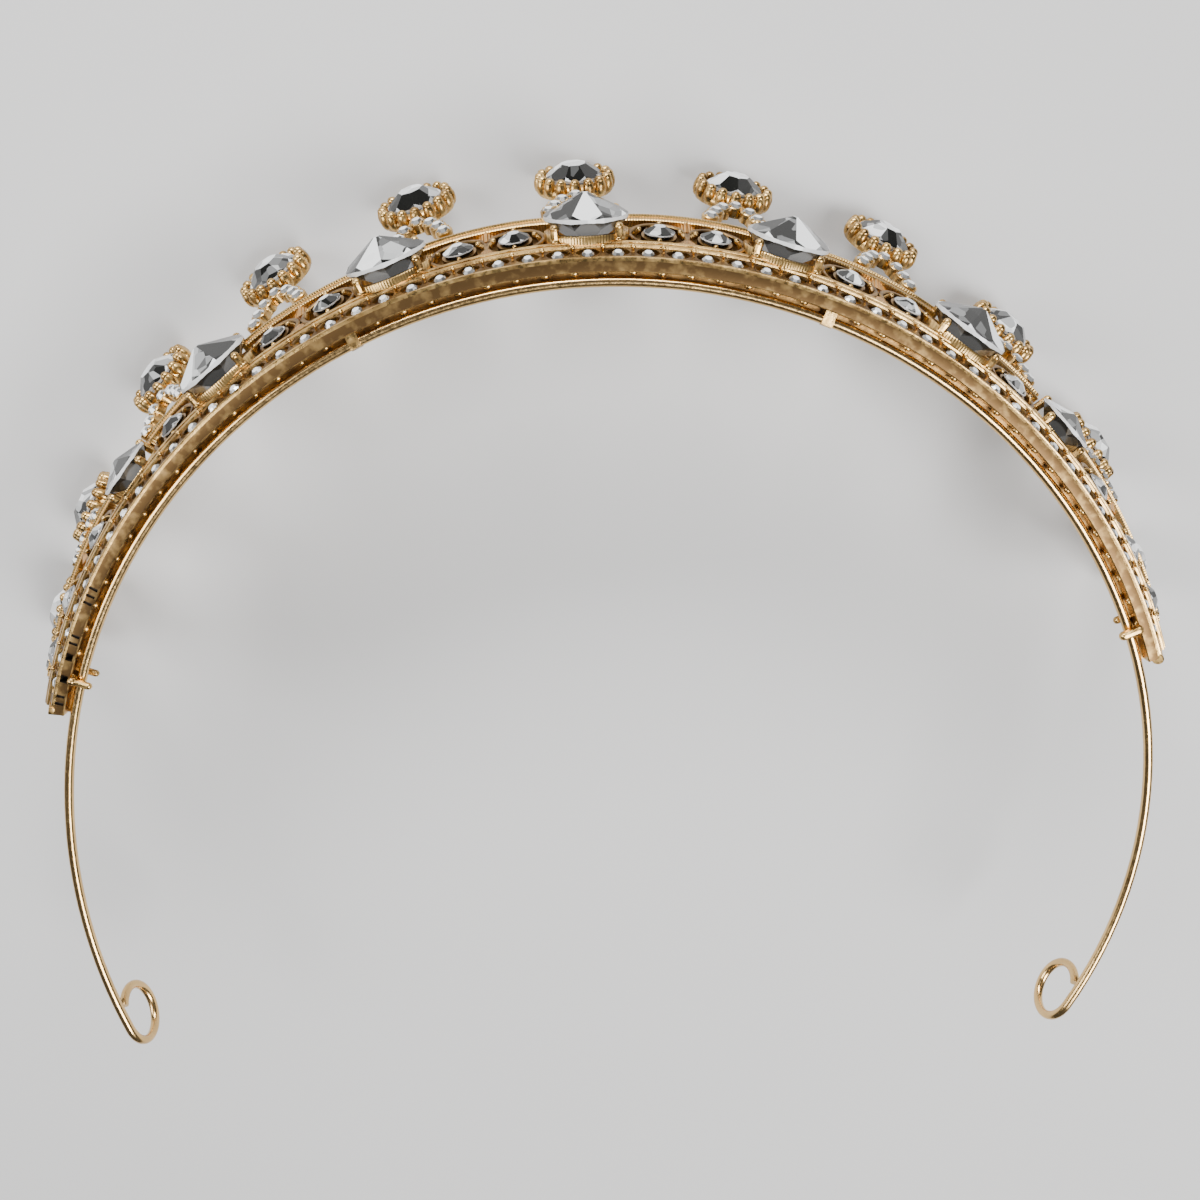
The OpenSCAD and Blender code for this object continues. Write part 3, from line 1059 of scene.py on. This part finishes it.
class TIARA_OT_rail_trim(bpy.types.Operator):
    """Adds the beads of the stone row, the nibs of the inner edge and the end tabs"""

    bl_idname = "tiara.rail_trim"
    bl_label = "Rail trim"

    def execute(self, context):
        rail = tiara().rail
        inner = rail.base_radius - rail.strip_width
        between = [a + math.degrees(rail.step) / 2 for a in border_angles()[:-1]]
        ball = bead("ball", 0.31 * MM, (0, -0.4 * MM, 0.42 * MM))
        stem = plate("stem", [(-0.1, -1.1), (0.1, -1.1), (0.16, 0.1), (-0.16, 0.1)], -0.1, 0.1)
        spots = [row_place(a, 2.42 * MM) @ FACE_OUT for a in between]
        finish(lay_out(join("row_bead", [ball, stem]), spots, "row_beads"), cast_gold())
        nib = bead("nib", 0.42 * MM, (0, 0, 0), stretch=(1.25, 0.9, 0.8))
        spots = [swing(a) @ shift(0, -inner, 0.6 * MM) for a in between]
        finish(lay_out(nib, spots, "inner_nibs"), cast_gold())
        # Flange along the inner edge, standing for the rail's inner wall; its dark gold is painted shade.
        flange = [(0, y * MM - inner, z * MM) for y, z in
                  ((-0.2, 1.62), (-0.2, 1.9), (1.0, 1.9), (1.0, 1.62))]
        places = [swing(math.degrees(rail.half_angle) * (k / 60 - 1)) for k in range(121)]
        finish(set_down(sweep("inner_flange", flange, places), lay_down()), painted_shade_gold())
        finish(join("end_tabs", end_tabs()), cast_gold())
        return {"FINISHED"}


def pointed_frame():
    """Pointed oval frame with four claws and the seat of its stone."""
    openwork = tiara().openwork
    width, height, depth = openwork.frame_width, openwork.frame_height, openwork.thickness
    corners = lens(width, height, 12)
    half = len(corners) // 2
    section = flat_section(0.3 * MM, -depth, 0, 0.12 * MM)
    parts = [sweep("side", section, along([(x, y, 0) for x, y in side]))
             for side in (corners[:half + 1], corners[half:] + corners[:1])]
    seat = 1.7 * MM
    wall = seat + 0.45 * MM
    parts.append(ring("seat", [(seat, -depth * 0.9), (wall, -depth * 0.9),
                               (wall, -0.15 * MM), (seat, -0.05 * MM)], 20))
    # Plate that fills the pierced hole behind the frame: a dark sheet of painted shade.
    behind = lens(width - 0.4 * MM, height - 0.4 * MM, 12)
    parts.append(prism("plate", behind, -depth, 0.2 * MM - depth))
    # The frame's sides, seat and plate take gold darkened with painted shade.
    for part in parts:
        cover(part, painted_shade_gold())
    wide = width / 2 - 0.55 * MM
    high = height / 2 - 0.1 * MM
    # Angle of each claw, its outer end, and the reach and height of its head in millimetres
    for degrees, reach, head, rise in ((0, wide, 2.5, 0.35), (90, high, 2.1, 0.35),
                                       (180, wide, 2.5, 0.35), (270, high, 2.1, -0.05)):
        path = [(reach, 0, -0.4 * MM), (reach - 0.25 * MM, 0, (rise - 0.3) * MM),
                (head * MM, 0, rise * MM)]
        claw = sweep("claw", round_section(0.26 * MM, 8), along(path, up=(0, 1, 0)))
        knob = bead("knob", 0.34 * MM, (head * MM, 0, (rise + 0.05) * MM))
        parts += [set_down(cover(part, cast_gold()), swing(degrees)) for part in (claw, knob)]
    return join("frame_pattern", parts)


def palmette():
    """Three lobed leaf that stands on the ledge between two frames."""
    corners = [(-1.4, -0.2), (1.4, -0.2), (1.5, 0.4), (1.15, 0.85), (0.85, 0.7), (0.55, 1.5),
               (0, 1.9), (-0.55, 1.5), (-0.85, 0.7), (-1.15, 0.85), (-1.5, 0.4)]
    leaf = plate("leaf", corners, -1.1, 0.5)
    return modify(leaf, "BEVEL", width=0.16 * MM, segments=2, limit_method="ANGLE")


def ridge_plate():
    """Pair of slanting plates that fill the corner under the top rail between two frames."""
    return join("ridge_plate", [
        set_down(plate("plate", [(0, 0), (2.8 * side, 0), (0, -3.2)], -0.5, 0),
                 roll(side * math.radians(24))) for side in (-1, 1)])


def corner_leaf():
    """Curved leaf that fills the corner between a collar and the next frame."""
    corners = [(-0.2, -0.2), (3.2, -0.2), (2.2, 0.25), (1.2, 0.9), (0.55, 1.8), (0.2, 2.9), (-0.3, 3.2)]
    leaf = plate("corner", corners, -1.1, -0.1)
    return modify(leaf, "BEVEL", width=0.14 * MM, segments=2, limit_method="ANGLE")


class TIARA_OT_openwork(bpy.types.Operator):
    """Models the pointed frames and the leaves between them"""

    bl_idname = "tiara.openwork"
    bl_label = "Openwork"

    def execute(self, context):
        middle = tiara().openwork.frame_middle
        places = [openwork_place(a, middle) @ FACE_OUT for a in MID_ANGLES]
        finish(lay_out(pointed_frame(), places, "pointed_frames"), cast_gold())
        places = [openwork_place(a, 0) @ FACE_OUT for a in LEAF_ANGLES]
        finish(lay_out(palmette(), places, "palmettes"), leaf_gold())
        upper = top_slant() - 0.5 * MM
        places = [openwork_place(a, upper) @ FACE_OUT @ shift(0, 0, 0.2 * MM) for a in LEAF_ANGLES]
        finish(lay_out(ridge_plate(), places, "ridge_plates"), leaf_gold())
        turned = shift(0, 0, -1.2 * MM) @ roll(math.pi)
        places = [openwork_place(a + degrees, 0) @ FACE_OUT @ side for a in LARGE_ANGLES
                  for degrees, side in ((-3.3, turned), (3.3, Matrix.Identity(4)))]
        finish(lay_out(corner_leaf(), places, "corner_leaves"), leaf_gold())
        return {"FINISHED"}


def swag_slant(share):
    """Slant height of a top rail's middle along its span."""
    return top_slant() - 1.4 * MM * abs(2 * share - 1) ** 3


def top_rail(section, low, high):
    """Top rail that arches between two angles, and stops short at a large stone."""
    half = math.degrees(tiara().rail.half_angle)
    first = low + (0.2 if low == -half else 2.7)
    last = high - (0.2 if high == half else 2.7)
    steps = max(6, round((last - first) / 1.2))
    places = []
    for k in range(steps + 1):
        here = first + (last - first) * k / steps
        places.append(openwork_place(here, swag_slant((here - low) / (high - low))))
    return sweep("swag", section, places)


class TIARA_OT_top_rails(bpy.types.Operator):
    """Models the top rails that arch from one large stone to the next"""

    bl_idname = "tiara.top_rails"
    bl_label = "Top rails"

    def execute(self, context):
        half = math.degrees(tiara().rail.half_angle)
        back = tiara().openwork.thickness
        face = millimetres([(0, -0.1, -0.7), (0, -0.2, -0.55), (0, -0.2, 0.3),
                            (0, -0.42, 0.4), (0, -0.42, 0.62), (0, -0.3, 0.7)])
        section = [(0, back, -0.7 * MM), *face, (0, back, 0.7 * MM)]
        ends = (-half, *LARGE_ANGLES, half)
        rails = [top_rail(section, low, high) for low, high in zip(ends, ends[1:])]
        post = square_section(0.5 * MM, -0.1 * MM, back)
        slants = [-0.3 * MM + (swag_slant(0) + 0.3 * MM) * k / 4 for k in range(5)]
        for degrees in (0.6 - half, half - 0.6):
            rails.append(sweep("post", post, [openwork_place(degrees, s) for s in slants]))
        body = set_down(join("top_rails", rails), lay_down())
        finish(body, hatched_gold(), smooth=30)
        return {"FINISHED"}


def large_claw(reach, head_height):
    """Claw of a large stone: a post beside the pavilion with a round foot and a round head."""
    top = reach - (0.1 * MM if head_height > 0 else 0)
    path = [(reach - 0.5 * MM, 0, -3.2 * MM), (reach - 0.1 * MM, 0, -2.5 * MM),
            (reach, 0, -1.7 * MM), (reach, 0, -1.3 * MM), (top, 0, head_height)]
    return [sweep("post", round_section(0.52 * MM, 10), along(path, up=(0, 1, 0))),
            bead("head", 0.58 * MM, (top, 0, head_height), stretch=(1, 1, 0.9)),
            bead("foot", 0.62 * MM, (reach, 0, -2.3 * MM), stretch=(0.95, 1, 0.8))]


class TIARA_OT_seats(bpy.types.Operator):
    """Models the ribbed collars and the claws of the large stones"""

    bl_idname = "tiara.seats"
    bl_label = "Large seats"

    def execute(self, context):
        stones = tiara().stones
        places = large_places()
        collars, claws = [], []
        for diameter, spots in ((stones.large, places[1:-1]), (stones.outer, (places[0], places[-1]))):
            wall = diameter / 2 + 0.1 * MM
            collar = ring("collar", beside(wall, [(-0.9, -3.6), (-0.15, -3.6), (0, -3.4), (0, -1.9),
                                                  (-0.15, -1.65), (-0.9, -1.65)]), 48)
            collars.append(lay_out(collar, spots, "collars"))
            parts = [set_down(part, swing(degrees)) for degrees, head in LARGE_CLAWS
                     for part in large_claw(diameter / 2 + 0.2 * MM, head * MM)]
            claws.append(lay_out(join("claws", parts), spots, "large_claws"))
        finish(join("collars", collars), hatched_gold())
        finish(join("large_claws", claws), cast_gold())
        return {"FINISHED"}


def stone_cup():
    """Round cup with four grips, behind a stone on an arch."""
    wall = tiara().stones.arch / 2 + 0.04 * MM
    hub = 0.01 * MM
    sides = beside(wall, [(0.12, -0.9), (0.22, 0.3), (0.12, 0.42), (0, 0.42), (0, 0.06)])
    parts = [ring("cup", [(hub, -0.9 * MM), *sides, (hub, 0.06 * MM)], 16)]
    for degrees in (45, 135, 225, 315):
        grip = bead("grip", 0.2 * MM, (wall, 0, 0.45 * MM), segments=6, rings=4)
        parts.append(set_down(grip, swing(degrees)))
    return join("stone_cup", parts)


def arch_arm(index, side):
    """Arm of an arch on one side, from below its foot to its top."""
    path = []
    for k in range(9):
        point = arm_point(index, k / 8)
        path.append((side * point.x, point.y - 0.8 * MM * (1 - k / 8), -0.45 * MM))
    return sweep("arm", flat_section(0.62 * MM, -0.5 * MM, 0.45 * MM, 0.2 * MM), along(path))


class TIARA_OT_arches(bpy.types.Operator):
    """Models the arches that carry the finials"""

    bl_idname = "tiara.arches"
    bl_label = "Arches"

    def execute(self, context):
        parts = []
        cups = []
        for i in FINIALS:
            place = lay_down() @ arch_place(i) @ FACE_OUT
            parts += [set_down(arch_arm(i, side), place) for side in (-1, 1)]
            cups += [place @ shift(*spot) for spot in arch_stone_spots(i)]
        parts.append(repeat(stone_cup(), cups, "stone_cups"))
        finish(join("arches", parts), cast_gold())
        return {"FINISHED"}


class TIARA_OT_finial_rings(bpy.types.Operator):
    """Models the ring of bead claws round each finial's stone"""

    bl_idname = "tiara.finial_rings"
    bl_label = "Finial rings"

    def execute(self, context):
        finials = tiara().finials
        middle = finials.ring_radius
        inside = tiara().stones.finial / 2 + 0.1 * MM
        section = (beside(inside, [(-0.6, -1.3)]) + beside(middle, [(0.1, -1.3), (0.25, -1.0), (0.2, -0.3)])
                   + beside(inside, [(0.3, 0.5), (0.05, 0.5), (0.05, -0.6), (-0.6, -0.9)]))
        parts = [ring("base", section, 40)]
        for k in range(finials.claws):
            claw = bead("claw", finials.claw_radius, (middle, 0, -0.05 * MM), stretch=(1, 1.15, 1.7))
            end = bead("end", 0.6 * MM, (middle - 0.15 * MM, 0, 0.8 * MM), stretch=(1.15, 1.1, 1))
            turned = spin(2 * math.pi * k / finials.claws)
            parts += [set_down(claw, turned), set_down(end, turned)]
        places = [ring_place(i) @ FACE_OUT for i in FINIALS]
        pattern = join("ring_pattern", parts)
        finish(lay_out(pattern, places, "finial_rings"), cast_gold(), smooth=50)
        return {"FINISHED"}


def prong(degrees, radius, foot, outer, inner, height):
    """Round bar that runs inwards from a ball at the rail to a round free end, in millimetres."""
    ends = millimetres([(0, -outer, height), (0, -inner, height)])
    parts = [sweep("prong", round_section(radius * MM, 10), along(ends)),
             bead("ball", foot * MM, ends[0]), bead("ball", radius * MM, ends[1])]
    return set_down(join("prong", parts), swing(degrees))


def wire_clip():
    """Flat strap that runs inwards from the rail and back round the wire."""
    gap = tiara().wire.thickness / 2 + 0.12 * MM
    root = -gap - 1.0 * MM
    round_wire = 0.8 * gap
    # Distance inwards, height and turn in degrees of each step of the strap
    bends = ((root, -gap, 0), (0, -gap, 0), (round_wire, -round_wire, 50), (gap, 0, 90),
             (round_wire, round_wire, 130), (0, gap, 180), (root, gap, 180))
    places = [shift(0, y, z) @ tip(math.radians(turn - 90)) for y, z, turn in bends]
    return sweep("clip", square_section(0.7 * MM, 0, -0.45 * MM), places)


class TIARA_OT_clips(bpy.types.Operator):
    """Models the clips that hold the wire to the rail"""

    bl_idname = "tiara.clips"
    bl_label = "Clips"

    def execute(self, context):
        wire = tiara().wire
        places = [swing(degrees) @ shift(0, -wire.radius, wire.height) for degrees in MIDDLE_CLIPS]
        parts = [repeat(wire_clip(), places, "middle_clips")] + [prong(*sizes) for sizes in PRONGS]
        finish(set_down(join("clips", parts), lay_down()), cast_gold())
        return {"FINISHED"}


class TIARA_OT_wire(bpy.types.Operator):
    """Sweeps the headband wire from one eye loop to the other"""

    bl_idname = "tiara.wire"
    bl_label = "Headband wire"

    def execute(self, context):
        wire = tiara().wire
        clip = math.degrees(wire.clip_angle)
        ahead = roll(math.radians(90))
        ends = {}
        for side, radius, long in ((-1, wire.left_radius, wire.left_length),
                                   (1, wire.right_radius, wire.right_length)):
            root = swing(side * clip) @ shift(0, radius - wire.radius, 0)
            turn = side * math.degrees(long / radius)
            places = [root @ swing(turn * k / 24) @ shift(0, -radius, 0) @ ahead for k in range(1, 25)]
            eye = root @ swing(turn) @ shift(0, -radius, wire.eye)
            places += [eye @ roll(-side * wire.eye_turn * k / 36) @ shift(0, 0, -wire.eye) @ ahead
                       for k in range(1, 37)]
            ends[side] = places
        held = [swing(clip * k / 40) @ shift(0, -wire.radius, 0) @ ahead for k in range(-40, 41)]
        path = ends[-1][::-1] + held + ends[1]
        body = sweep("round_wire", round_section(wire.thickness / 2, 14), path)
        set_down(body, lay_down() @ shift(0, 0, wire.height))
        finish(body, wire_gold(), smooth=50)
        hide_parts("headband_wire")
        return {"FINISHED"}


# Stage


def area_light(name, spot, target, size, power):
    """Soft light that faces a target."""
    light = bpy.data.lights.new(name, "AREA")
    light.shape = "RECTANGLE"
    light.size, light.size_y = size
    light.energy = power
    lamp = bpy.data.objects.new(name, light)
    lamp.location = spot
    lamp.rotation_euler = (Vector(target) - Vector(spot)).to_track_quat("-Z", "Y").to_euler()
    bpy.context.scene.collection.objects.link(lamp)


class TIARA_OT_stage(bpy.types.Operator):
    """Sets the floor, the studio light and the camera"""

    bl_idname = "tiara.stage"
    bl_label = "Stage"

    def execute(self, context):
        start()
        bpy.ops.mesh.primitive_plane_add(size=4, location=(0, 0, 0))
        floor = cover(named(bpy.context.object, "floor"), pale_floor())
        world = bpy.data.worlds.new("studio")
        context.scene.world = world
        world.use_nodes = True
        background = world.node_tree.nodes["Background"]
        background.inputs["Color"].default_value = (0.55, 0.57, 0.60, 1)
        background.inputs["Strength"].default_value = 0.16
        area_light("key", (-0.25, 0.2, 0.55), (0, 0, 0), (0.3, 0.3), 6)
        area_light("fill", (0.45, -0.1, 0.4), (0, 0, 0), (0.25, 0.4), 2.5)
        area_light("rim", (0.05, -0.55, 0.3), (0, 0, 0.02), (0.45, 0.15), 5)
        self.camera(context)
        return {"FINISHED"}

    def camera(self, context):
        """Camera above the front of the band, at the photograph's angle."""
        settings = bpy.data.cameras.new("camera")
        settings.lens = 36
        settings.sensor_width = 36
        settings.dof.use_dof = False
        settings.clip_start = 0.005
        camera = bpy.data.objects.new("camera", settings)
        context.scene.collection.objects.link(camera)
        ahead = Vector((-0.0076, 0.2767, -0.9609)).normalized()
        right = ahead.cross(Vector((-0.0491, -0.9599, -0.2760))).normalized()
        up = right.cross(ahead)
        turn = Matrix((right, up, -ahead)).transposed().to_4x4()
        # Distance aside from the middle, towards the front and above the flat bottom face
        aside, before, above = 1.64 * MM, 74.2 * MM, 143.33 * MM
        axis = lay_down().translation
        camera.matrix_world = shift(aside, axis.y - before, axis.z + above) @ turn
        context.scene.camera = camera


class TIARA_PT_panel(bpy.types.Panel):
    """Lists the tiara's sizes and the steps that model it"""

    bl_idname = "TIARA_PT_panel"
    bl_label = "Rhinestone tiara"
    bl_space_type = "VIEW_3D"
    bl_region_type = "UI"
    bl_category = "Tiara"

    def draw(self, context):
        for group in (tiara().rail, tiara().openwork, tiara().stones, tiara().finials,
                      tiara().wire, tiara().colours):
            box = self.layout.box()
            for name in group.__annotations__:
                box.prop(group, name)
        for step in STEPS:
            self.layout.operator(step.bl_idname)


STEPS = (TIARA_OT_rail, TIARA_OT_rail_trim, TIARA_OT_openwork, TIARA_OT_top_rails, TIARA_OT_seats,
         TIARA_OT_arches, TIARA_OT_finial_rings, TIARA_OT_clips, TIARA_OT_wire, TIARA_OT_large_stones,
         TIARA_OT_frame_stones, TIARA_OT_finial_stones, TIARA_OT_small_stones, TIARA_OT_stage)
GROUPS = (TiaraRail, TiaraOpenwork, TiaraStones, TiaraFinials, TiaraWire, TiaraColours, Tiara)


def register():
    """Registers the groups, the steps and the panel."""
    for group in (*GROUPS, *STEPS, TIARA_PT_panel):
        bpy.utils.register_class(group)
    bpy.types.Scene.tiara = PointerProperty(type=Tiara)


def unregister():
    """Takes back what register did."""
    del bpy.types.Scene.tiara
    for group in reversed((*GROUPS, *STEPS, TIARA_PT_panel)):
        bpy.utils.unregister_class(group)


def main():
    """Models the tiara piece by piece."""
    register()
    for step in STEPS:
        group, name = step.bl_idname.split(".")
        getattr(getattr(bpy.ops, group), name)()


if __name__ == "__main__":
    main()
